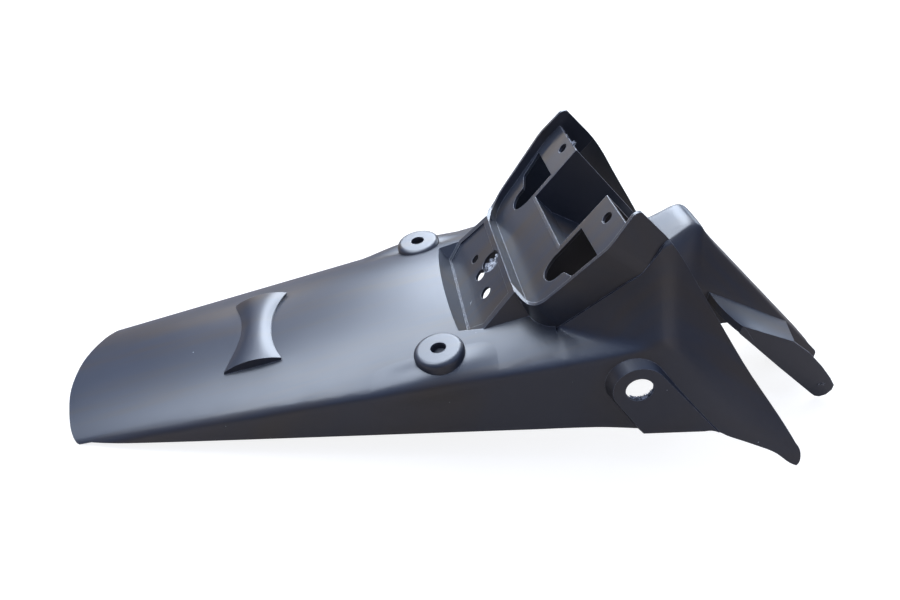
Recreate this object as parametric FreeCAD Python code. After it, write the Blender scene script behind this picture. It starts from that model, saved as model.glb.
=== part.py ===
import FreeCAD, Part
import os
from math import radians, sin, cos, tan, hypot

V = FreeCAD.Vector

# Rear fender, one moulding. X runs to the front of the motorcycle, Y to its left, Z up.
# All sizes in millimetres; every pair of features is mirrored about the XZ plane.
wall = 2.5
reach = 900.0
originX = 3.55
originZ = -4.86

# blade: crowned plate with folded flanks
foldHeight = 75.3
foldRise = 0.2677
foldHalf = 98.7
foldSpread = 0.103
foldRadius = 10.0
crownPower = 2.4
crownStations = (-340, -200, -36, 120)
crownRises = (10.0, 14.0, 18.5, 20.0)
flankHalf = 102.2
flankSpread = 0.1075
flankLean = -0.0438
edgeHeight = 24.4
edgeRise = 0.0885
tailCentre = -312.3

# recess and the inclined plate with its holes
recessStartX = -23.8
recessStartZ = 87.4
plateFootX = -10.0
plateFootZ = 75.9
plateFootHalf = 51.3
recessSideSlope = 0.80
plateTopX = 19.0
plateTopZ = 116.0
towerHalf = 61.5
towerDraft = 0.23
grooveX = 29.0
grooveZ = 107.6
panelDepth = 1.4

# seat pods on the second inclined face
crestX = 52.8
crestZ = 143.1
podTopX = 79.4
podTopZ = 183.3
notchHalf = 37.5
podHoleRadius = 4.3
podHoleX = 74.8
podHoleY = 56.4

# front tongue
shelfHalf = 55.0
lipDepth = 7.0

# ring bosses
bossX = -35.7
bossY = 73.2
bossZ = 81.4
bossBaseRadius = 18.5
bossHoleRadius = 5.7
bossTilt = 15.0

# ear pads
earHoleRadius = 9.8
earX = 101.0
earZ = 74.5
earProud = 8.0


def clampedKnots(count, degree):
    inner = count - degree - 1
    knots = [float(i) for i in range(inner + 2)]
    mults = [degree + 1] + [1] * inner + [degree + 1]
    return knots, mults


def fullRow(half):
    left = [(-y, z) for (y, z) in reversed(half[:-1])]
    return list(half) + left


def insetRow(row, depth, lean):
    normals = []
    for (a, b) in zip(row[:-1], row[1:]):
        length = hypot(b[0] - a[0], b[1] - a[1])
        normals.append((-(b[1] - a[1]) / length, (b[0] - a[0]) / length))
    moved = []
    for i, (y, z) in enumerate(row):
        n1 = normals[max(i - 1, 0)]
        n2 = normals[min(i, len(normals) - 1)]
        scale = depth / (1.0 + n1[0] * n2[0] + n1[1] * n2[1])
        moved.append((y + scale * (n1[0] + n2[0]), z + lean * scale * (n1[1] + n2[1])))
    return moved


def netSolid(stations, rows, floor):
    poles = []
    for x, row in zip(stations, rows):
        ring = [V(x, y, z) for (y, z) in row]
        ring[0].z = floor
        ring[-1].z = floor
        poles.append(ring)
    uKnots, uMults = clampedKnots(len(poles), 2)
    vKnots, vMults = clampedKnots(len(poles[0]), 2)
    surface = Part.BSplineSurface()
    surface.buildFromPolesMultsKnots(poles, uMults, vMults, uKnots, vKnots, False, False, 2, 2)
    faces = [surface.toShape()]
    for knot in (uKnots[0], uKnots[-1]):
        arch = surface.uIso(knot).toShape()
        chord = Part.makeLine(arch.valueAt(arch.FirstParameter), arch.valueAt(arch.LastParameter))
        faces.append(Part.Face(Part.Wire([arch, chord])))
    hems = [surface.vIso(knot).toShape() for knot in (vKnots[0], vKnots[-1])]
    ends = [Part.makeLine(hems[0].valueAt(hems[0].FirstParameter), hems[1].valueAt(hems[1].FirstParameter)),
            Part.makeLine(hems[0].valueAt(hems[0].LastParameter), hems[1].valueAt(hems[1].LastParameter))]
    faces.append(Part.Face(Part.Wire([hems[0], ends[1], hems[1], ends[0]])))
    shell = Part.makeShell(faces)
    shell.sewShape()
    solid = Part.makeSolid(shell)
    if solid.Volume < 0:
        solid.reverse()
    return solid


def sidePrism(points, halfWidth):
    wire = Part.makePolygon([V(x, -halfWidth, z) for (x, z) in points + points[:1]])
    return Part.Face(wire).extrude(V(0, 2 * halfWidth, 0))


def planPrism(points, low, high):
    wire = Part.makePolygon([V(x, y, low) for (x, y) in points + points[:1]])
    return Part.Face(wire).extrude(V(0, 0, high - low))


def mirrorY(shape):
    return shape.mirror(V(0, 0, 0), V(0, 1, 0))


def cutBeyond(shape, point, normal):
    block = Part.makeBox(reach, reach, reach, V(-reach / 2, -reach / 2, 0))
    block.Placement = FreeCAD.Placement(point, FreeCAD.Rotation(V(0, 0, 1), normal))
    return shape.cut(block)


def planesSolid(block, planes, grow):
    for (point, normal) in planes:
        n = V(*normal).normalize()
        p = V(*point) + n * grow
        block = cutBeyond(block, p, n)
        if abs(n.y) > 0.001:
            block = cutBeyond(block, V(p.x, -p.y, p.z), V(n.x, -n.y, n.z))
    return block


def offsetLine(points, depth):
    norms = []
    for (a, b) in zip(points[:-1], points[1:]):
        length = hypot(b[0] - a[0], b[1] - a[1])
        norms.append(((b[1] - a[1]) / length, -(b[0] - a[0]) / length))
    moved = []
    for i, (x, z) in enumerate(points):
        n1 = norms[max(i - 1, 0)]
        n2 = norms[min(i, len(norms) - 1)]
        scale = depth / (1.0 + n1[0] * n2[0] + n1[1] * n2[1])
        moved.append((x + scale * (n1[0] + n2[0]), z + scale * (n1[1] + n2[1])))
    return moved


def ribbon(points, halfWidth):
    return sidePrism(points + offsetLine(points, wall)[::-1], halfWidth)


def filletNear(shape, points, radius):
    edges = []
    for point in points:
        spot = Part.Vertex(V(*point))
        edges.append(min(shape.Edges, key=lambda e: e.distToShape(spot)[0]))
    return shape.makeFillet(radius, edges)


def lerp(x, xs, ys):
    if x <= xs[0]:
        return ys[0]
    for i in range(1, len(xs)):
        if x <= xs[i]:
            return ys[i - 1] + (ys[i] - ys[i - 1]) * (x - xs[i - 1]) / float(xs[i] - xs[i - 1])
    return ys[-1]


def foldZ(x):
    return foldHeight + foldRise * x


def foldY(x):
    return foldHalf + foldSpread * x


def flankY(x, z):
    return flankHalf + flankSpread * x + flankLean * z


def crownZ(x, y):
    return foldZ(x) + lerp(x, crownStations, crownRises) * (1 - (y / foldY(x)) ** crownPower)


hem = -45.0


def bladeRow(x, spots):
    h = foldY(x)
    z = foldZ(x)
    row = [(flankY(x, hem), hem), (flankY(x, z - foldRadius), z - foldRadius), (h, z)]
    row += [(y, crownZ(x, y)) for y in [h - foldRadius] + [s * h for s in spots] + [0.0]]
    return row


plainSpots = (0.80, 0.66, 0.50, 0.34, 0.17)
footSpots = (0.815, 0.690, 0.640, 0.583, 0.437)
footX = 46
bladeStations = [-345, -220, -80, -20, 20, footX]
bladeRows = [bladeRow(x, plainSpots) for x in bladeStations[:-1]] + [bladeRow(footX, footSpots)]
legStations = [50, 60, 72, 86, 100, 114, 135, 165, 200, 235, 275]
legRows = [
    [(108.5, hem), (104.6, 79), (103.9, 88.7), (96.5, 92.3), (87, 96), (78.5, 98.6), (77, 101), (76.6, 104),
     (70, 110), (0, 112)],
    [(109.6, hem), (105.6, 81), (105.0, 91.4), (98, 94.8), (91, 97.5), (85.5, 100), (82, 107), (79.7, 113.5),
     (77.5, 124), (0, 126)],
    [(110.9, hem), (106.8, 84), (106.2, 94.6), (100, 98), (96, 100), (92.3, 103.5), (88, 115), (83.5, 128),
     (80, 140), (0, 142)],
    [(112.6, hem), (108.6, 86), (107.8, 98.3), (103.5, 101.5), (101, 104), (98.5, 109), (93.3, 127), (88.2, 145),
     (85, 158), (0, 160)],
    [(115.5, hem), (111.5, 86), (109.8, 102), (107.5, 106), (105.5, 110), (103, 116), (96.3, 136), (89.7, 160.5),
     (86.5, 176), (0, 178)],
    [(118.5, hem), (115, 80), (113, 100), (112, 106), (110.5, 112), (106, 120), (98, 140), (88.5, 168),
     (85.5, 184), (0, 186)],
    [(123, hem), (121, 60), (118, 82), (116.5, 90), (114, 97), (108, 108), (99, 126), (91, 145),
     (84, 165), (0, 170)],
    [(128, hem), (126, 30), (123.5, 50), (121.5, 60), (118, 70), (111, 84), (103, 98), (97.5, 108),
     (86, 130), (0, 140)],
    [(132, hem), (129.5, 2), (127.5, 16), (125.5, 26), (122.5, 35), (116.5, 48), (111.5, 57), (108, 63),
     (95, 90), (0, 100)],
    [(134, hem), (133, -22), (132, -8), (130.5, 0), (129, 6), (126, 14), (124, 20), (122, 25),
     (106, 60), (0, 70)],
    [(138, hem), (137, -32), (136, -22), (135, -15), (134, -10), (132, 0), (130, 7), (128, 12),
     (112, 40), (0, 50)]]
skinStations = bladeStations + legStations
skinRows = [fullRow(row) for row in bladeRows + legRows]
skinOuter = netSolid(skinStations, skinRows, hem)
skinInner = netSolid([-352] + skinStations[1:-1] + [282], [insetRow(row, wall, 1.0) for row in skinRows], hem - 5)

ledgeLine = [(47, 96.7), (48.4, 98.4), (85.6, 144.6), (92.5, 151.5), (106, 175.3), (115, 192), (300, 300)]
skinOuter = skinOuter.common(sidePrism([(-360, -80), (-360, 300), (47, 300)] + ledgeLine + [(300, -80)], 200))
ledgeDrop = 2.1 * wall
ledgeUnder = [(42, 90.5)] + [(x + 0.3 * wall, z - ledgeDrop) for (x, z) in ledgeLine[1:]]
skinInner = skinInner.common(sidePrism([(-360, -80), (-360, 300), (42, 300)] + ledgeUnder + [(300, -80)], 200))

# tub and wings as a block of inclined planes with two soft corners on each side
plateRun = V(plateTopX - plateFootX, 0, plateTopZ - plateFootZ).normalize()
plateBack = (-plateRun.z, 0, plateRun.x)
plateSpot = (plateTopX, 0, plateTopZ)
tubRear = ((19.7, 55, 115.2), (-0.836, 0.243, -0.493))
tubSide = ((55.7, 89.0, 160.4), (-0.0404, 1.0, -0.2207))
tubFront = ((93, 89.9, 152), (0.19, 1.0, 0.1163))
rearCorner = (31.5, 77.0, 107)
frontCorner = (79, 91.2, 163)
rearRadius = 22.0
frontRadius = 22.0


def tubBlock(grow, low, high):
    block = Part.makeBox(190, 220, high - low, V(-20, -110, low))
    block = planesSolid(block, [tubRear, tubSide, tubFront], grow)
    corners = [rearCorner, (rearCorner[0], -rearCorner[1], rearCorner[2])]
    block = filletNear(block, corners, rearRadius + grow)
    corners = [frontCorner, (frontCorner[0], -frontCorner[1], frontCorner[2])]
    return filletNear(block, corners, frontRadius + grow)


tubOuter = planesSolid(tubBlock(0.0, 85, 230), [(plateSpot, plateBack)], 0.0)
tubSides = tubBlock(-wall, 40, 260)
tubInner = planesSolid(tubSides, [(plateSpot, plateBack)], -wall)
towerSide = ((0, towerHalf, 88), (-0.02, 1.0, towerDraft))
towerPlanes = [(plateSpot, plateBack), towerSide]
towerOuter = planesSolid(Part.makeBox(60, 160, plateTopZ - 80, V(-20, -80, 80)), towerPlanes, 0.0)
towerInner = planesSolid(Part.makeBox(56, 160, 90, V(-20, -80, 40)), towerPlanes, -wall)

# outline seen from the side: pod rim, wing front edge, leg tip and hem
wingPeak = [(76.6, 193.5), (78.9, 196.0), (81.6, 196.9), (84.6, 195.6)]
legFront = [(105.3, 178.3), (123.0, 159.0), (135.6, 142.5), (158.0, 114.2), (184.9, 80.1), (213.0, 47.7), (237, 18.4)]
legTip = [(237, 18.4), (240.9, 13.4), (242.4, 8.6), (242.4, 3.5), (240.6, 0.6)]
legHem = [(240.6, 0.6), (235.6, 2.6), (222.3, 11.7), (205.5, 19.9), (187.7, 27.4), (175.3, 32.6), (167, 37.2)]
hemEnd = 156.0
tailLimit = -330.0


def hemZ(x):
    return edgeHeight + edgeRise * x


def sideWire(pieces, y):
    edges = []
    for points in pieces:
        spots = [V(x, y, z) for (x, z) in points]
        if len(spots) == 2:
            edges.append(Part.makeLine(spots[0], spots[1]))
        else:
            curve = Part.BSplineCurve()
            curve.interpolate(spots)
            edges.append(curve.toShape())
    return Part.Wire(edges)


hemStart = (-284, foldZ(-284) - 0.9)
hemCorner = (hemEnd, hemZ(hemEnd))
hemTail = (tailLimit, foldZ(tailLimit) - 1.5)
rimStart = (25.6, 116)
outline = [[hemTail, (tailLimit, 116)], [(tailLimit, 116), rimStart], [rimStart, (28.6, 118.2), (31.6, 122.0)],
           [(31.6, 122.0), wingPeak[0]], wingPeak, [wingPeak[-1], legFront[0]], legFront, legTip, legHem,
           [legHem[-1], (162, 38.9), hemCorner], [hemCorner, hemStart], [hemStart, hemTail]]
sideKeep = Part.Face(sideWire(outline, -200)).extrude(V(0, 400, 0))

# outline of the tail seen from above
tailSide = (-287.5, 70)
tailCurve = [tailSide, (-294.5, 66.4), (-299.8, 59), (-303.9, 48.5), (-307.6, 35.3), (-310.8, 21), (tailCentre, 0)]
tailRound = [V(x, y, -80) for (x, y) in tailCurve] + [V(x, -y, -80) for (x, y) in tailCurve[-2::-1]]
tailEdge = Part.BSplineCurve()
tailEdge.interpolate(tailRound)
tailFrame = Part.makePolygon([tailRound[-1], V(tailSide[0], -160, -80), V(400, -160, -80), V(400, 160, -80),
                              V(tailSide[0], 160, -80), tailRound[0]])
tailKeep = Part.Face(Part.Wire([tailEdge.toShape()] + tailFrame.Edges)).extrude(V(0, 0, 380))

# sheets across the tub: plate, groove band, floor and pod faces share one bent profile
upper = [(plateFootX, plateFootZ), (plateTopX, plateTopZ), (grooveX, grooveZ), (crestX, crestZ),
         (podTopX, podTopZ)]
sheets = ribbon(upper, 120).common(tubOuter.fuse(towerOuter))
notch = sidePrism([(crestX, crestZ), (podTopX + 30, podTopZ + 60), (podTopX + 60, podTopZ), (crestX + 20, crestZ - 30)],
                  notchHalf)
sheets = sheets.cut(notch)

# recess cut into the blade behind the plate
recessRun = V(plateFootX - recessStartX, 0, plateFootZ - recessStartZ).normalize()
recessFloor = ((plateFootX, 0, plateFootZ), (recessRun.z, 0, -recessRun.x))
recessSide = ((0, plateFootHalf, plateFootZ), (0, 1.0, -recessSideSlope))
plateFront = (plateSpot, (plateRun.z, 0, -plateRun.x))
recessBox = Part.makeBox(90, 160, 70, V(-60, -80, 60))
recess = planesSolid(recessBox, [recessFloor, recessSide, plateFront], 0.0)
recessSkin = planesSolid(recessBox, [recessFloor, recessSide, plateFront], wall)

body = skinOuter.cut(recess)
body = body.fuse([tubOuter, towerOuter])
body = body.cut(skinInner.cut(recessSkin))
body = body.cut(tubInner)
body = body.cut(towerInner)
tubMouth = [(plateTopX, plateTopZ), (grooveX, grooveZ), (crestX, crestZ), (podTopX, podTopZ),
            (podTopX + 30, podTopZ + 45), (podTopX - 40, podTopZ + 45)]
body = body.cut(tubSides.common(sidePrism(tubMouth, 120)))
body = body.fuse(sheets)

# pod openings in the inclined face, with a lobed lower edge
podMouth = [(64.2, 42), (64.4, 84), (52.3, 77), (50.7, 70), (48.6, 63.5), (45.9, 62.5), (43, 60.3), (40.8, 54),
            (41.4, 47.5), (43.8, 44), (50.2, 42)]


def faceZ(x):
    return crestZ + (x - crestX) * (podTopZ - crestZ) / (podTopX - crestX)


mouthRound = Part.BSplineCurve()
mouthRound.interpolate([V(x, y, faceZ(x)) for (x, y) in podMouth[2:]])
mouthEdges = [mouthRound.toShape()]
mouthLine = [podMouth[-1], podMouth[0], podMouth[1], podMouth[2]]
mouthSpots = [V(x, y, faceZ(x)) for (x, y) in mouthLine]
mouthEdges += [Part.makeLine(p, q) for (p, q) in zip(mouthSpots[:-1], mouthSpots[1:])]
mouthFace = Part.Face(Part.Wire(mouthEdges))
faceNormal = V(-(podTopZ - crestZ), 0, podTopX - crestX).normalize()
mouth = mouthFace.extrude(faceNormal * 8)
mouth.translate(faceNormal * -5)
podHole = Part.makeCylinder(podHoleRadius, 14, V(podHoleX, podHoleY, faceZ(podHoleX)) - faceNormal * 7, faceNormal)
openings = [mouth, mirrorY(mouth), podHole, mirrorY(podHole)]
body = body.cut(openings)
body = body.common(sideKeep)
body = body.common(tailKeep)

# front tongue with skirts, the valley between the pods and the pod inner walls
valleyLine = [(crestX, crestZ), (68.8, 129), (95, 117.2), (107.2, 112.8)]
valley = sidePrism(valleyLine + offsetLine(valleyLine, wall)[::-1], notchHalf + 1.0)
tongueStart = 107.0
tongueRows = [(96, 37.5, 118.0, 39.0, 116.0), (107, 36.5, 111.2, 38.8, 108), (126, 27, 121.5, 38.4, 108),
              (146, 18, 137, 37.8, 109), (166, 17, 153, 37.0, 107), (180, 17, 135.5, 36.0, 100),
              (225, 17, 97.5, 27.6, 77.5), (274, 17, 56.1, 19.0, 53), (330, 17, 8.8, 18, 6)]


def tongueRow(top, topZ, crease, creaseZ):
    share = min(0.5, 2.0 / hypot(crease - top, topZ - creaseZ))
    upper = (top + share * (crease - top), topZ + share * (creaseZ - topZ))
    middle = ((upper[0] + crease) / 2.0, (upper[1] + creaseZ) / 2.0)
    return [(crease + 2.0, -60), (crease + 0.4, creaseZ - 8), (crease, creaseZ), middle, upper,
            (top - 3.0, topZ), (0, topZ)]


def tongueUnder(top, topZ, crease, creaseZ):
    fall = (topZ - creaseZ) / (crease - top)
    shift = wall * hypot(1.0, fall) / fall
    underZ = topZ - 1.2 * wall
    creaseUnder = crease - wall
    creaseUnderZ = min(topZ - (creaseUnder - top + shift) * fall, underZ - 1.0)
    return tongueRow(min(top - shift + (topZ - underZ) / fall, creaseUnder - 0.5), underZ, creaseUnder, creaseUnderZ)


tongueStations = [row[0] for row in tongueRows]
tongueOuter = netSolid(tongueStations, [fullRow(tongueRow(*row[1:])) for row in tongueRows], -60)
tongueInner = netSolid([90] + tongueStations[1:-1] + [336], [fullRow(tongueUnder(*row[1:])) for row in tongueRows], -65)
tongueHem = [(60, -90), (60, 70), (130, 70), (190, 64), (228, 62), (300, 5), (340, 5), (340, -90)]
tongue = tongueOuter.cut(tongueInner).cut(sidePrism(tongueHem, 60))
tongue = tongue.common(Part.makeBox(319.4 - tongueStart, 120, 200, V(tongueStart, -60, 0)))
tongue = tongue.cut(sidePrism([(90, 50), (90, 118), (100, 106), (130, 70), (130, 50)], 60))

wallLine = [(grooveX + 5, faceZ(grooveX + 5) - 1), (podTopX + 0.3, podTopZ + 0.1), (139, 129), (149, 113),
            (147, 105), (122, 104), (108, 96), (50, 92), (grooveX + 5, 100)]
podWall = Part.Face(Part.makePolygon([V(x, 0, z) for (x, z) in wallLine + wallLine[:1]])).extrude(V(0, wall, 0))
podWall.translate(V(0, notchHalf, 0))

# shelf beside the tongue with its outer wall and prong
shelfCrease = [(170, 38, 104), (225, 27, 77.5), (290, 14, 46)]
shelfEdge = [(196, 55.5, 82.5), (211, 55.5, 77), (262, 55.5, 60.0)]
shelfNet = [[V(*a), V(*b)] for (a, b) in zip(shelfCrease, shelfEdge)]
shelfFace = Part.BSplineSurface()
shelfFace.buildFromPolesMultsKnots(shelfNet, [3, 3], [2, 2], [0.0, 1.0], [0.0, 1.0], False, False, 2, 1)
shelf = shelfFace.toShape().extrude(V(0, 0, -wall))
shelfPlan = [(179, 30), (184.5, 38), (188.5, 43), (193, 46.5), (199, 50), (204, 53), (208.1, shelfHalf),
             (259, shelfHalf), (261, 52), (276, 17.5), (200, 20)]
lipPlan = shelfPlan[:7] + [(208.1, 53), (204.5, 50.6), (199.8, 47.5), (194, 44), (190, 40.7), (187.5, 37), (184.5, 33)]
lip = shelfFace.toShape().extrude(V(0, 0, -lipDepth)).common(planPrism(lipPlan, 0, 140))
shelf = shelf.common(planPrism(shelfPlan, 0, 140)).fuse(lip)
prongLine = [(208.1, 77.8), (259, 60.6), (279, 47.3), (296.3, 32.3), (309.3, 19.2), (316.6, 10.4), (317, 5),
             (313.6, -0.6), (308, -2.6), (303, -1.6), (298.5, 1.4), (255.5, 33.9), (221.4, 60.4)]
prong = Part.Face(Part.makePolygon([V(x, 0, z) for (x, z) in prongLine + prongLine[:1]])).extrude(V(0, wall, 0))
prong.translate(V(0, shelfHalf - wall, 0))
body = body.fuse([valley, tongue, podWall, mirrorY(podWall), shelf, mirrorY(shelf), prong, mirrorY(prong)])

# ring bosses on the blade shoulders
bossAxis = V(-sin(radians(bossTilt)), 0, cos(radians(bossTilt)))
bossTop = V(bossX, bossY, bossZ)
bossDrop = 24.0
bossRound = 4.0
bossSolid = Part.makeCylinder(bossBaseRadius, bossDrop, bossTop - bossAxis * bossDrop, bossAxis)
bossSolid = filletNear(bossSolid, [bossTop + V(0, bossBaseRadius, 0)], bossRound)
bossBore = Part.makeCylinder(bossBaseRadius - wall, bossDrop, bossTop - bossAxis * (bossDrop + 1.3 * wall), bossAxis)
bossHole = Part.makeCylinder(bossHoleRadius, 60, bossTop - bossAxis * 30, bossAxis)
bossSolid = bossSolid.cut(skinInner)
body = body.fuse([bossSolid, mirrorY(bossSolid)])
body = body.cut([bossBore, mirrorY(bossBore), bossHole, mirrorY(bossHole)])

# bow-tie boss across the blade
tieHalf = 42.0


def tieSection(y, rear, front, rearZ, frontZ, rise, sink):
    a = V(rear, y, rearZ)
    b = V(front, y, frontZ)
    middle = (a + b) * 0.5 + V(-0.27 * rise, 0, rise)
    low = V(0, 0, -sink)
    edges = [Part.Arc(a, middle, b).toShape(), Part.makeLine(b, b + low), Part.makeLine(b + low, a + low),
             Part.makeLine(a + low, a)]
    return Part.Wire(edges)


def bladeZ(x, y):
    return crownZ(x, abs(y))


def tieLoft(inset, sink):
    sections = []
    for y, rear, front, lift, rise in ((-tieHalf + inset, -190.2, -147.5, 2.2, 4.6), (-21, -184.0, -155.3, 1.2, 4.2),
                                       (0, -181.3, -157.7, 0.8, 4.0), (21, -184.0, -155.3, 1.2, 4.2),
                                       (tieHalf - inset, -190.2, -147.5, 2.2, 4.6)):
        a = rear + inset
        b = front - inset
        sections.append(tieSection(y, a, b, bladeZ(rear, y) + lift - inset, bladeZ(front, y) + lift - inset, rise, sink))
    return Part.makeLoft(sections, True, False)


tie = tieLoft(0.0, 3.6)
tieHollow = tieLoft(wall, 7.0)
body = body.fuse(tie).cut(tieHollow)

# raised ear pads on the flanks, with a wide hole each
padRear = radians(-48.0)
padFront = radians(-43.5)
padTopRadius = 18.5
padBaseRadius = 22.5
baseShift = 2.0
flankNormal = V(-flankSpread, 1.0, -flankLean).normalize()


def padWire(x, z, radius, lift):
    rearRun = V(cos(padRear), 0, sin(padRear))
    frontRun = V(cos(padFront), 0, sin(padFront))
    middle = V(x, 0, z)
    front = middle + V(sin(-padFront), 0, cos(padFront)) * radius
    rear = middle - V(sin(-padRear), 0, cos(padRear)) * radius
    top = middle - (rearRun + frontRun).normalize() * radius
    spots = [front + frontRun * 90, front, top, rear, rear + rearRun * 90]
    spots = [V(p.x, flankY(p.x, p.z), p.z) + flankNormal * lift for p in spots]
    edges = [Part.makeLine(spots[0], spots[1]), Part.Arc(spots[1], spots[2], spots[3]).toShape(),
             Part.makeLine(spots[3], spots[4]), Part.makeLine(spots[4], spots[0])]
    return Part.Wire(edges)


baseX = earX - baseShift
baseZ = earZ + baseShift
padInset = padTopRadius - wall
pad = Part.makeLoft([padWire(baseX, baseZ, padBaseRadius, -2.2), padWire(earX, earZ, padTopRadius, earProud)],
                    True, True)
padHollow = Part.makeLoft([padWire(baseX, baseZ, padBaseRadius - wall, -8),
                           padWire(earX, earZ, padInset, earProud - wall)], True, True)
earCentre = V(earX, flankY(earX, earZ), earZ)
earHole = Part.makeCylinder(earHoleRadius, 60, earCentre - flankNormal * 30, flankNormal)
pad = pad.common(sideKeep)
body = body.fuse([pad, mirrorY(pad)])
body = body.cut([padHollow, mirrorY(padHollow)])
body = body.cut([earHole, mirrorY(earHole)])

# sunken panel and holes of the inclined plate
def platePoint(along, y, lift=0.0):
    back = V(*plateBack)
    return V(plateFootX, y, plateFootZ) + plateRun * along + back * lift


panelSpots = [(-50.5, 44.3), (50.5, 44.3), (56, 16), (46.5, 1.0), (-46.5, 1.0), (-56, 16)]
panelWire = Part.makePolygon([platePoint(s, y, 1.0) for (y, s) in panelSpots + panelSpots[:1]])
panelFace = Part.Face(panelWire)
panelCut = panelFace.extrude(V(*plateBack) * -(1.0 + panelDepth))
panelBack = Part.Face(Part.makePolygon([platePoint(s, y, -wall + 0.2) for (y, s) in panelSpots + panelSpots[:1]]))
panelBack = panelBack.extrude(V(*plateBack) * -(panelDepth + 0.2))
body = body.fuse(panelBack).cut(panelCut)
plateHoles = [(24.6, 20.8, 4.0), (24.6, -2.4, 5.2), (24.6, -26.2, 5.2), (38.0, 0.0, 9.6)]
for along, y, radius in plateHoles:
    spot = platePoint(along, y, 5)
    body = body.cut(Part.makeCylinder(radius, 14, spot, V(*plateBack) * -1))

body = body.removeSplitter()
body.translate(V(-originX, 0, -originZ))
os.makedirs("parts", exist_ok=True)
body.exportStep("parts/rear_fender.step")
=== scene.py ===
import math
import random
import bmesh
import bpy
from mathutils import Matrix, Vector
from mathutils.bvhtree import BVHTree


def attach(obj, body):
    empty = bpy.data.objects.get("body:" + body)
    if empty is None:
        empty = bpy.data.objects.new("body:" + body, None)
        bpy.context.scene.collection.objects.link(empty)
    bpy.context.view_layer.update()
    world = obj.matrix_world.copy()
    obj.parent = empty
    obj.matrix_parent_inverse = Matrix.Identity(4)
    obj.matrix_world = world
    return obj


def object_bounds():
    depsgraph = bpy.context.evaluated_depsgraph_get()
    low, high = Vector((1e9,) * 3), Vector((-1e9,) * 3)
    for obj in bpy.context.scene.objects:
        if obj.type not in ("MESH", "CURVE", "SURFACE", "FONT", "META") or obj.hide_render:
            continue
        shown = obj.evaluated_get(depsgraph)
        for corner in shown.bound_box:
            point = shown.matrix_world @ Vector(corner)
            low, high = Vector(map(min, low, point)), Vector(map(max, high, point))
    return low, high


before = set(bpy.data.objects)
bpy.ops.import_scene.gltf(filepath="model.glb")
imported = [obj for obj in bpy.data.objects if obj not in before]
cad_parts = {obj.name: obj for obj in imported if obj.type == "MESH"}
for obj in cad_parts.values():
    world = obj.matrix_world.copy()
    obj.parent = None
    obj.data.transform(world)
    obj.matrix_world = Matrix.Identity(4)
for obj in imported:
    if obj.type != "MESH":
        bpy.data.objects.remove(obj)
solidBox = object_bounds()
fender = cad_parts["rear_fender"]
print("frame loaded")


# Small helpers for node trees

def newMaterial(name):
    material = bpy.data.materials.new(name)
    material.use_nodes = True
    tree = material.node_tree
    tree.nodes.clear()
    output = tree.nodes.new("ShaderNodeOutputMaterial")
    return material, tree, output


def addNode(tree, kind, **settings):
    node = tree.nodes.new("ShaderNode" + kind)
    for key, value in settings.items():
        setattr(node, key, value)
    return node


def wire(tree, source, target):
    tree.links.new(source, target)


def mathNode(tree, operation, first, second=None):
    node = addNode(tree, "Math", operation=operation)
    for socket, value in zip(node.inputs, (first, second)):
        if value is None:
            continue
        if isinstance(value, (int, float)):
            socket.default_value = value
        else:
            wire(tree, value, socket)
    return node.outputs[0]


def rampBetween(tree, source, low, high):
    node = addNode(tree, "MapRange", clamp=True)
    wire(tree, source, node.inputs["Value"])
    node.inputs["From Min"].default_value = low
    node.inputs["From Max"].default_value = high
    return node.outputs["Result"]


def noiseAt(tree, place, scale, detail=3.0, roughness=0.5):
    node = addNode(tree, "TexNoise")
    wire(tree, place, node.inputs["Vector"])
    node.inputs["Scale"].default_value = scale
    node.inputs["Detail"].default_value = detail
    node.inputs["Roughness"].default_value = roughness
    return node.outputs["Fac"]


def mixColor(tree, share, first, second):
    node = addNode(tree, "Mix", data_type="RGBA")
    sockets = {s.identifier: s for s in node.inputs}
    for socket, value in (("Factor_Float", share), ("A_Color", first), ("B_Color", second)):
        if isinstance(value, (int, float, tuple)):
            sockets[socket].default_value = value
        else:
            wire(tree, value, sockets[socket])
    return next(s for s in node.outputs if s.identifier == "Result_Color")


# Satin black moulded plastic, as it left the tool
plasticLook = {
    "color": (0.019, 0.0225, 0.033, 1.0),
    "paleColor": (0.027, 0.031, 0.044, 1.0),
    "flowColor": (0.038, 0.028, 0.021, 1.0),
    # pale colour of the moulded edges, partly wear and partly a painted highlight
    "edgeWearAndHighlightColor": (0.38, 0.39, 0.43, 1.0),
    "dustColor": (0.62, 0.62, 0.62, 1.0),
    "roughness": 0.38,
    "ior": 1.85,
    "cloudScale": 9.0,
    "cloudFade": (0.35, 0.70),
    "flowStretch": (5.0, 70.0, 5.0),
    "flowFade": (0.46, 0.68),
    "edgeRadius": 0.0006,
    "edgeFade": (0.980, 0.78),
    "edgePatchScale": 160.0,
    "edgePatchFade": (0.26, 0.56),
    "speckScale": 95.0,
    "speckFade": (0.055, 0.030),
    "speckRarity": 0.93,
    "smudge": 0.10,
    "smudgeScale": 24.0,
    "grain": 0.06,
    "grainScale": 1400.0,
    "grainDepth": 0.0002,
}


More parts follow.
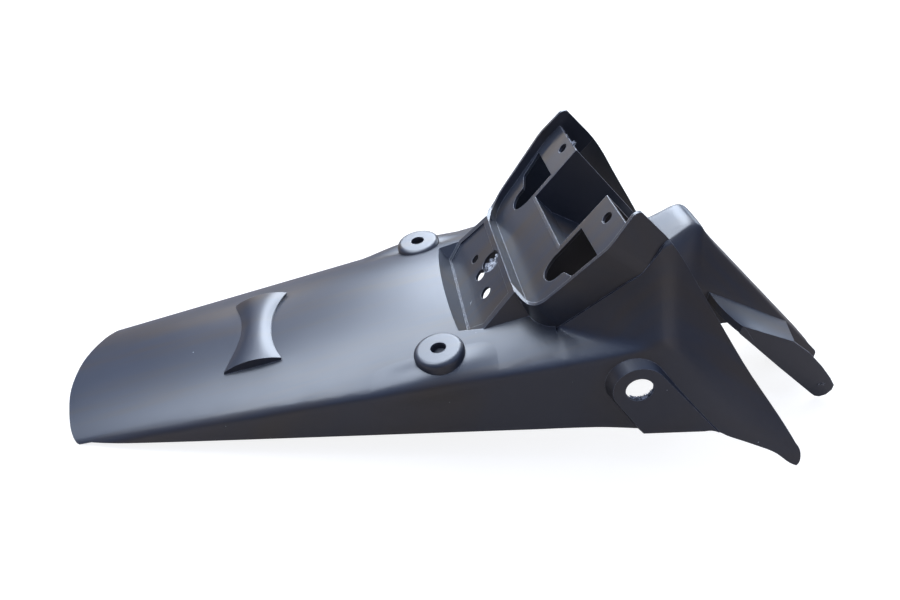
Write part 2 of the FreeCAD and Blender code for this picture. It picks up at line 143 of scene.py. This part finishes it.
def satinPlastic():
    look = plasticLook
    material, tree, output = newMaterial("satinPlastic")
    place = addNode(tree, "TexCoord").outputs["Object"]
    skin = addNode(tree, "BsdfPrincipled")
    skin.inputs["IOR"].default_value = look["ior"]

    # broad clouds of tone, as the melt cooled
    cloud = rampBetween(tree, noiseAt(tree, place, look["cloudScale"], 4.0, 0.6), *look["cloudFade"])
    tone = mixColor(tree, cloud, look["color"], look["paleColor"])

    # brownish streaks where the melt ran
    stretched = addNode(tree, "VectorMath", operation="MULTIPLY")
    wire(tree, place, stretched.inputs[0])
    stretched.inputs[1].default_value = look["flowStretch"]
    flow = noiseAt(tree, stretched.outputs["Vector"], 1.0, 3.0, 0.6)
    streak = rampBetween(tree, flow, *look["flowFade"])
    tone = mixColor(tree, streak, tone, look["flowColor"])

    # thin pale line along every moulded edge: partly wear, partly a painted highlight where light catches the
    # rounded edge
    rounded = addNode(tree, "Bevel", samples=6)
    rounded.inputs["Radius"].default_value = look["edgeRadius"]
    plain = addNode(tree, "NewGeometry")
    turn = addNode(tree, "VectorMath", operation="DOT_PRODUCT")
    wire(tree, rounded.outputs["Normal"], turn.inputs[0])
    wire(tree, plain.outputs["Normal"], turn.inputs[1])
    edgeWearAndHighlight = rampBetween(tree, turn.outputs["Value"], *look["edgeFade"])
    patch = noiseAt(tree, place, look["edgePatchScale"], 4.0, 0.6)
    patchy = rampBetween(tree, patch, *look["edgePatchFade"])
    tone = mixColor(tree, mathNode(tree, "MULTIPLY", edgeWearAndHighlight, patchy), tone, look["edgeWearAndHighlightColor"])

    # a few pale specks of dust
    cells = addNode(tree, "TexVoronoi", feature="F1")
    cells.inputs["Scale"].default_value = look["speckScale"]
    wire(tree, place, cells.inputs["Vector"])
    near = rampBetween(tree, cells.outputs["Distance"], *look["speckFade"])
    chance = addNode(tree, "SeparateColor")
    wire(tree, cells.outputs["Color"], chance.inputs["Color"])
    rare = mathNode(tree, "GREATER_THAN", chance.outputs["Red"], look["speckRarity"])
    tone = mixColor(tree, mathNode(tree, "MULTIPLY", near, rare), tone, look["dustColor"])
    wire(tree, tone, skin.inputs["Base Color"])

    # hand marks in the sheen
    smudge = noiseAt(tree, place, look["smudgeScale"], 5.0, 0.62)
    sheen = mathNode(tree, "MULTIPLY", mathNode(tree, "SUBTRACT", smudge, 0.5), look["smudge"])
    wire(tree, mathNode(tree, "ADD", sheen, look["roughness"]), skin.inputs["Roughness"])

    # fine grain of the tool, over softly rounded edges
    bump = addNode(tree, "Bump")
    bump.inputs["Strength"].default_value = look["grain"]
    bump.inputs["Distance"].default_value = look["grainDepth"]
    wire(tree, noiseAt(tree, place, look["grainScale"], 2.0, 0.5), bump.inputs["Height"])
    wire(tree, rounded.outputs["Normal"], bump.inputs["Normal"])
    wire(tree, bump.outputs["Normal"], skin.inputs["Normal"])
    wire(tree, skin.outputs["BSDF"], output.inputs["Surface"])
    return material


blackPlastic = satinPlastic()
for materialSlot in fender.material_slots:
    materialSlot.material = blackPlastic
print("fender finished")


# Torn plastic, paler and rougher than the skin
tearLook = {
    "dark": (0.05, 0.052, 0.060, 1.0),
    "pale": (0.56, 0.57, 0.60, 1.0),
    "roughness": 0.30,
    "scale": 420.0,
    "fade": (0.38, 0.62),
}


def paleTear():
    material, tree, output = newMaterial("paleTear")
    place = addNode(tree, "TexCoord").outputs["Object"]
    skin = addNode(tree, "BsdfPrincipled")
    look = tearLook
    patch = rampBetween(tree, noiseAt(tree, place, look["scale"], 3.0, 0.6), *look["fade"])
    wire(tree, mixColor(tree, patch, look["dark"], look["pale"]), skin.inputs["Base Color"])
    skin.inputs["Roughness"].default_value = look["roughness"]
    wire(tree, skin.outputs["BSDF"], output.inputs["Surface"])
    return material


# Pieces that ride on the fender

def meshPiece(name, points, faces, material, smooth=False):
    mesh = bpy.data.meshes.new(name)
    build = bmesh.new()
    corners = [build.verts.new(p) for p in points]
    for face in faces:
        build.faces.new([corners[k] for k in face])
    bmesh.ops.recalc_face_normals(build, faces=build.faces)
    build.to_mesh(mesh)
    build.free()
    for polygon in mesh.polygons:
        polygon.use_smooth = smooth
    mesh.materials.append(material)
    piece = bpy.data.objects.new(name, mesh)
    bpy.context.scene.collection.objects.link(piece)
    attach(piece, "root")
    return piece


def bridge(rows, closed):
    faces = []
    count = len(rows[0])
    points = [point for row in rows for point in row]
    for r in range(len(rows) - 1):
        for i in range(count if closed else count - 1):
            j = (i + 1) % count
            faces.append((r * count + i, r * count + j, (r + 1) * count + j, (r + 1) * count + i))
    return points, faces


# Inner sleeves of the two ring bosses
ringBosses = {
    "top": (-0.03925, 0.0732, 0.08626),
    "tilt": 15.0,
    "segments": 64,
    "holeRadius": 0.00568,
    "sleeveWall": 0.0019,
    "sleeveTop": 0.0012,
    "sleeveDepth": 0.013,
}


def bossSleeves(material):
    boss = ringBosses
    tilt = math.radians(boss["tilt"])
    axis = Vector((-math.sin(tilt), 0, math.cos(tilt)))
    along = Vector((math.cos(tilt), 0, math.sin(tilt)))
    inner = boss["holeRadius"]
    outer = inner + boss["sleeveWall"]
    high, low = boss["sleeveTop"], boss["sleeveDepth"]
    profile = ((inner, high), (inner, low), (outer, low), (outer, high), (inner, high))
    turns = [2 * math.pi * k / boss["segments"] for k in range(boss["segments"])]
    ways = [along * math.cos(t) + Vector((0, 1, 0)) * math.sin(t) for t in turns]
    for side, sign in (("left", 1), ("right", -1)):
        top = Vector(boss["top"])
        top.y *= sign
        rows = [[top + way * radius - axis * depth for way in ways] for radius, depth in profile]
        points, faces = bridge(rows, True)
        meshPiece("bossSleeve_" + side, points, faces, material)


# Fuller shoulder of the blade beside each ring boss
shoulder = {
    "clearStations": (-0.090, -0.080, -0.070, -0.062, -0.010, -0.004, 0.004),
    "middleY": 0.070,
    "drop": 0.018,
    "fromDegrees": 98.0,
    "toDegrees": -28.0,
    "turns": 34,
    "rowStep": 0.002,
    "swell": 0.0046,
    "sunk": 0.00012,
    "peakDegrees": 38.0,
    "endPower": 1.5,
    "castHeight": 0.3,
    "castFrom": 0.08,
    "castReach": 0.1,
}


def shoulderRow(skin, x, sign):
    spots = []
    first, last = shoulder["fromDegrees"], shoulder["toDegrees"]
    above = Vector((x, sign * shoulder["middleY"], shoulder["castHeight"]))
    top = skin.ray_cast(above, Vector((0, 0, -1)))[0]
    middle = top - Vector((0, 0, shoulder["drop"]))
    for k in range(shoulder["turns"] + 1):
        turn = math.radians(first + (last - first) * k / shoulder["turns"])
        way = Vector((0, sign * math.cos(turn), math.sin(turn)))
        spots.append(skin.ray_cast(middle + way * shoulder["castFrom"], -way, shoulder["castReach"])[0])
    return spots


def swellAcross(i):
    fromDegrees, toDegrees = shoulder["fromDegrees"], shoulder["toDegrees"]
    peak = shoulder["peakDegrees"]
    degrees = fromDegrees + (toDegrees - fromDegrees) * i / shoulder["turns"]
    reach = fromDegrees if degrees > peak else toDegrees
    away = (degrees - peak) / (reach - peak)
    return 0.5 + 0.5 * math.cos(math.pi * min(abs(away), 1.0))


def shoulders(skin, material):
    clear = shoulder["clearStations"]
    first, last = clear[0], clear[-1]
    count = round((last - first) / shoulder["rowStep"])
    for side, sign in (("left", 1), ("right", -1)):
        known = [shoulderRow(skin, x, sign) for x in clear]
        rows = []
        for k in range(count + 1):
            x = first + (last - first) * k / count
            n = max(i for i in range(len(clear) - 1) if clear[i] <= x + 1e-9)
            share = (x - clear[n]) / (clear[n + 1] - clear[n])
            base = [a.lerp(b, share) for a, b in zip(known[n], known[n + 1])]
            lengthwise = max(math.sin(math.pi * k / count), 0.0) ** shoulder["endPower"]
            row = []
            for i, spot in enumerate(base):
                before, after = base[max(i - 1, 0)], base[min(i + 1, len(base) - 1)]
                run = after - before
                normal = Vector((0, -run.z * sign, run.y * sign)).normalized()
                lift = shoulder["swell"] * lengthwise * swellAcross(i) - shoulder["sunk"]
                row.append(spot + normal * lift)
            rows.append(row)
        points, faces = bridge(rows, False)
        meshPiece("shoulder_" + side, points, faces, material, smooth=True)


# Torn skin left in the large hole of the inclined plate, and a nick beside the holes
plate = {
    "foot": (-0.01355, 0.0, 0.08076),
    "run": (0.586, 0.0, 0.8103),
    "sunk": -0.0014,
    "holeAlong": 0.038,
    "holeRadius": 0.0098,
    "tear": [(0.0285, 0.0060), (0.0325, 0.0052), (0.0352, 0.0030), (0.0385, 0.0042), (0.0420, 0.0016),
             (0.0445, 0.0030), (0.0473, 0.0022)],
    "tearCells": 4,
    "tearJitter": (0.0004, 0.0006),
    "tearSunk": 0.0006,
    "tearThick": 0.0003,
    "leastWidth": 0.0004,
    "crumple": 0.0019,
    "crumpleAtRim": 0.35,
    "nick": [(0.0077, -0.0239), (0.0089, -0.0213), (0.0108, -0.0199)],
    "nickWidth": 0.0004,
    "nickEnds": 0.3,
    "nickLift": (0.00006, 0.00016),
}


def onPlate(along, y, lift):
    run = Vector(plate["run"])
    back = Vector((-run.z, 0, run.x))
    return Vector(plate["foot"]) + run * along + Vector((0, y, 0)) + back * (plate["sunk"] + lift)


def tornSkin(material):
    draw = random.Random(4)
    sideways, lengthways = plate["tearJitter"]
    rows = []
    for along, edge in plate["tear"]:
        half = math.sqrt(max(plate["holeRadius"] ** 2 - (along - plate["holeAlong"]) ** 2, 0.0))
        low = -half
        high = max(min(edge, half), low + plate["leastWidth"])
        row = []
        for k in range(plate["tearCells"] + 1):
            share = k / plate["tearCells"]
            y = low + (high - low) * share + draw.uniform(-sideways, sideways)
            fold = plate["crumple"] * (plate["crumpleAtRim"] + share)
            lift = draw.uniform(-1.0, 1.0) * fold - plate["tearSunk"]
            row.append(onPlate(along + draw.uniform(-lengthways, lengthways), y, lift))
        rows.append(row)
    points, quads = bridge(rows, False)
    faces = []
    for a, b, c, d in quads:
        faces += [(a, b, c), (a, c, d)] if draw.random() < 0.5 else [(a, b, d), (b, c, d)]
    piece = meshPiece("tornSkin", points, faces, material)
    thick = piece.modifiers.new("thickness", "SOLIDIFY")
    thick.thickness = plate["tearThick"]


def nickOnPlate(material):
    rows = []
    side, crown = plate["nickLift"]
    for k, (along, y) in enumerate(plate["nick"]):
        half = plate["nickWidth"] * (plate["nickEnds"] if k != 1 else 1.0)
        rows.append([onPlate(along - half, y, side), onPlate(along, y, crown), onPlate(along + half, y, side)])
    points, faces = bridge(rows, False)
    meshPiece("plateNick", points, faces, material)


# Rough cut left inside the near ear hole
earCut = {
    "centre": (0.09745, -0.11743, 0.08020),
    "outward": (-0.1068, -0.9933, 0.0435),
    "radius": 0.00985,
    "turns": (-128.0, 14.0),
    "steps": 70,
    "insetsAndDepths": ((-0.0001, 0.0003), (0.5, 0.0007), (1.0, 0.0014), (0.8, 0.0024)),
    "ragged": 0.0017,
    "raggedSpread": (-0.5, 0.7),
    "depthSpread": 0.0002,
}


def roughEar(material):
    cut = earCut
    draw = random.Random(9)
    outward = Vector(cut["outward"]).normalized()
    across = (Vector((1, 0, 0)) - outward * outward.x).normalized()
    upward = across.cross(outward)
    if upward.z < 0:
        upward.negate()
    rows = [[], [], [], []]
    first, last = cut["turns"]
    for k in range(cut["steps"] + 1):
        share = k / cut["steps"]
        turn = math.radians(first + (last - first) * share)
        way = across * math.cos(turn) + upward * math.sin(turn)
        body = math.sin(math.pi * share) ** 0.5
        spread = cut["ragged"] * body
        for row, (inset, depth) in zip(rows, cut["insetsAndDepths"]):
            pull = inset if inset < 0 else spread * (inset + draw.uniform(*cut["raggedSpread"]))
            deep = depth + draw.uniform(-cut["depthSpread"], cut["depthSpread"])
            row.append(Vector(cut["centre"]) + way * (cut["radius"] - pull) - outward * deep)
    points, faces = bridge(rows, False)
    meshPiece("earCut", points, faces, material)


# Burrs on the top edge of the far seat pod and in the far boss hole, and a scuff near the tip of a prong
burrs = {
    "podEdge": ((0.07585, 0.044, 0.18816), (0.07585, 0.090, 0.18816)),
    "podCount": 46,
    "podSize": 0.0022,
    "podLift": (0.0004, 0.0, 0.0002),
    "clump": (0.0790, 0.0545, 0.1872),
    "clumpSize": 0.0027,
    "clumpCount": 7,
    "clumpSpread": 0.0016,
    "bossHole": (-0.0425, 0.0712, 0.0838),
    "bossSize": 0.0024,
    "bossCount": 3,
    "shardSpread": 0.6,
    "scuff": (0.29995, -0.05508, 0.01716),
    "scuffSize": (0.0032, 0.0015),
    "chipCount": 16,
    "chipSize": (0.0003, 0.0009),
    "chipShape": ((-1.6, 0), (0, -0.6), (1.6, 0), (0, 0.6)),
}


def shard(points, faces, place, size, draw):
    start = len(points)
    for corner in range(4):
        spread = [draw.uniform(-1, 1) * size * burrs["shardSpread"] for axis in range(3)]
        points.append(Vector(place) + Vector(spread))
    faces += [(start, start + 1, start + 2), (start, start + 2, start + 3), (start, start + 3, start + 1),
              (start + 1, start + 3, start + 2)]


def hangBurrs(material):
    draw = random.Random(21)
    points, faces = [], []
    first, last = (Vector(p) for p in burrs["podEdge"])
    for k in range(burrs["podCount"]):
        share = draw.random()
        size = burrs["podSize"] * draw.uniform(0.3, 1.0) * (1.2 - 0.6 * share)
        shard(points, faces, first.lerp(last, share) + Vector(burrs["podLift"]), size, draw)
    for k in range(burrs["clumpCount"]):
        aside = Vector((0, draw.uniform(-1, 1) * burrs["clumpSpread"], 0))
        shard(points, faces, Vector(burrs["clump"]) + aside, burrs["clumpSize"], draw)
    for k in range(burrs["bossCount"]):
        shard(points, faces, burrs["bossHole"], burrs["bossSize"], draw)
    meshPiece("burrs", points, faces, material)

    points, faces = [], []
    wide, high = burrs["scuffSize"]
    for k in range(burrs["chipCount"]):
        spot = Vector(burrs["scuff"]) + Vector((draw.uniform(-1, 1) * wide, 0, draw.uniform(-1, 1) * high))
        start = len(points)
        size = draw.uniform(*burrs["chipSize"])
        for a, b in burrs["chipShape"]:
            points.append(spot + Vector((a * size, 0, b * size)))
        faces.append((start, start + 1, start + 2, start + 3))
    meshPiece("prongScuff", points, faces, material)


# Rear gussets of the hanging prongs
prongs = {
    "outerY": 0.05503,
    "wall": 0.0025,
    "gusset": [(0.2040, 0.0805), (0.2044, 0.0756), (0.2179, 0.0653), (0.2200, 0.0670), (0.2070, 0.0815)],
}


def prongGussets(material):
    outline = prongs["gusset"]
    count = len(outline)
    for side, sign in (("left", 1), ("right", -1)):
        points = [(x, sign * prongs["outerY"], z) for (x, z) in outline]
        points += [(x, sign * (prongs["outerY"] - prongs["wall"]), z) for (x, z) in outline]
        faces = [tuple(range(count)), tuple(range(2 * count - 1, count - 1, -1))]
        faces += [(k, (k + 1) % count, count + (k + 1) % count, count + k) for k in range(count)]
        meshPiece("prongGusset_" + side, points, faces, material)


fenderSkin = BVHTree.FromPolygons([v.co.copy() for v in fender.data.vertices],
                                  [tuple(p.vertices) for p in fender.data.polygons])
bossSleeves(blackPlastic)
shoulders(fenderSkin, blackPlastic)
prongGussets(blackPlastic)
tornMaterial = paleTear()
tornSkin(tornMaterial)
nickOnPlate(tornMaterial)
roughEar(tornMaterial)
hangBurrs(tornMaterial)
print("details placed")


# White table that the fender stands on, and the light of the room
studio = {
    "floorSize": 6.0,
    "floorColor": (0.34, 0.325, 0.30, 1.0),
    "floorGlow": 0.86,
    "floorMirrored": 0.10,
    "floorTint": (0.240, 0.197, 0.174, 1.0),
    "zenith": (0.54, 0.67, 1.0, 1.0),
    "lowSky": (0.125, 0.18, 0.37, 1.0),
    "horizon": (0.125, 0.112, 0.118, 1.0),
    "skyLevel": 0.85,
    "horizonFade": (0.08, 0.28),
    "overheadFade": (0.35, 0.95),
}


def whiteTable():
    size = studio["floorSize"]
    mesh = bpy.data.meshes.new("table")
    corners = [(-size, -size, 0), (size, -size, 0), (size, size, 0), (-size, size, 0)]
    mesh.from_pydata(corners, [], [(0, 1, 2, 3)])
    table = bpy.data.objects.new("table", mesh)
    table.location.z = solidBox[0].z
    bpy.context.scene.collection.objects.link(table)
    material, tree, output = newMaterial("tableWhite")
    ray = addNode(tree, "LightPath")
    matt = addNode(tree, "BsdfDiffuse")
    tint = mixColor(tree, ray.outputs["Is Glossy Ray"], studio["floorColor"], studio["floorTint"])
    wire(tree, tint, matt.inputs["Color"])
    glow = addNode(tree, "Emission")
    faint = mathNode(tree, "MULTIPLY", ray.outputs["Is Glossy Ray"], studio["floorMirrored"])
    seen = mathNode(tree, "MAXIMUM", ray.outputs["Is Camera Ray"], faint)
    wire(tree, mathNode(tree, "MULTIPLY", seen, studio["floorGlow"]), glow.inputs["Strength"])
    both = addNode(tree, "AddShader")
    wire(tree, matt.outputs[0], both.inputs[0])
    wire(tree, glow.outputs[0], both.inputs[1])
    wire(tree, both.outputs[0], output.inputs["Surface"])
    mesh.materials.append(material)


def softSky():
    world = bpy.data.worlds.new("sky")
    bpy.context.scene.world = world
    world.use_nodes = True
    tree = world.node_tree
    tree.nodes.clear()
    output = tree.nodes.new("ShaderNodeOutputWorld")
    aim = addNode(tree, "SeparateXYZ")
    wire(tree, addNode(tree, "TexCoord").outputs["Generated"], aim.inputs[0])
    rising = rampBetween(tree, aim.outputs["Z"], *studio["horizonFade"])
    overhead = rampBetween(tree, aim.outputs["Z"], *studio["overheadFade"])
    lower = mixColor(tree, rising, studio["horizon"], studio["lowSky"])
    lit = addNode(tree, "Background")
    wire(tree, mixColor(tree, overhead, lower, studio["zenith"]), lit.inputs["Color"])
    lit.inputs["Strength"].default_value = studio["skyLevel"]
    paper = addNode(tree, "Background")
    paper.inputs["Color"].default_value = (1.0, 1.0, 1.0, 1.0)
    paper.inputs["Strength"].default_value = 1.0
    ray = addNode(tree, "LightPath")
    choose = addNode(tree, "MixShader")
    wire(tree, ray.outputs["Is Camera Ray"], choose.inputs["Fac"])
    wire(tree, lit.outputs[0], choose.inputs[1])
    wire(tree, paper.outputs[0], choose.inputs[2])
    wire(tree, choose.outputs[0], output.inputs["Surface"])


# Each lamp: where it stands, where it points, its size in metres, watts and colour
lamps = {
    "windowBehind": {"place": (0.13, 1.70, 1.15), "aim": (0.02, 0.0, 0.10), "size": (1.24, 0.86),
                     "watts": 35.5, "color": (0.78, 0.87, 1.0)},
    "ceilingPanel": {"place": (-0.62, 0.62, 1.54), "aim": (-0.05, 0.0, 0.08), "size": (1.95, 1.0),
                     "watts": 38.0, "color": (0.78, 0.87, 1.0)},
    "warmWall": {"place": (-0.86, 1.80, 0.46), "aim": (0.05, 0.05, 0.15), "size": (0.40, 0.18),
                 "watts": 1.15, "color": (1.0, 0.93, 0.86)},
    "coolSide": {"place": (1.25, 1.00, 0.62), "aim": (0.20, 0.0, 0.08), "size": (0.80, 0.50),
                 "watts": 6.0, "color": (0.72, 0.84, 1.0)},
    "warmRoom": {"place": (0.60, -1.60, 0.40), "aim": (0.10, 0.0, 0.08), "size": (0.9, 0.5),
                 "watts": 0.9, "color": (1.0, 0.88, 0.78)},
}


def hangLamps():
    for name, lamp in lamps.items():
        light = bpy.data.lights.new(name, "AREA")
        light.shape = "RECTANGLE"
        light.size, light.size_y = lamp["size"]
        light.energy = lamp["watts"]
        light.color = lamp["color"]
        holder = bpy.data.objects.new(name, light)
        holder.location = lamp["place"]
        aim = Vector(lamp["aim"]) - Vector(lamp["place"])
        holder.rotation_euler = aim.to_track_quat("-Z", "Y").to_euler()
        holder.visible_camera = False
        bpy.context.scene.collection.objects.link(holder)


# Camera standing over the near side of the blade, with a slight roll
camera = {
    "place": (-0.1066, -0.450, 0.4018),
    "forward": (0.1543, 0.7990, -0.5811),
    "right": (0.9872, -0.1370, 0.0740),
    "lens": 28.0,
    "sensor": 36.0,
}


def standCamera():
    data = bpy.data.cameras.new("camera")
    data.lens = camera["lens"]
    data.sensor_width = camera["sensor"]
    data.clip_start = 0.01
    data.clip_end = 50.0
    holder = bpy.data.objects.new("camera", data)
    back = -Vector(camera["forward"]).normalized()
    right = Vector(camera["right"])
    right = (right - right.dot(back) * back).normalized()
    up = back.cross(right)
    turn = Matrix((right, up, back)).transposed()
    holder.matrix_world = Matrix.Translation(camera["place"]) @ turn.to_4x4()
    bpy.context.scene.collection.objects.link(holder)
    bpy.context.scene.camera = holder


whiteTable()
softSky()
hangLamps()
standCamera()
bpy.context.scene.view_settings.view_transform = "Standard"
print("studio ready")
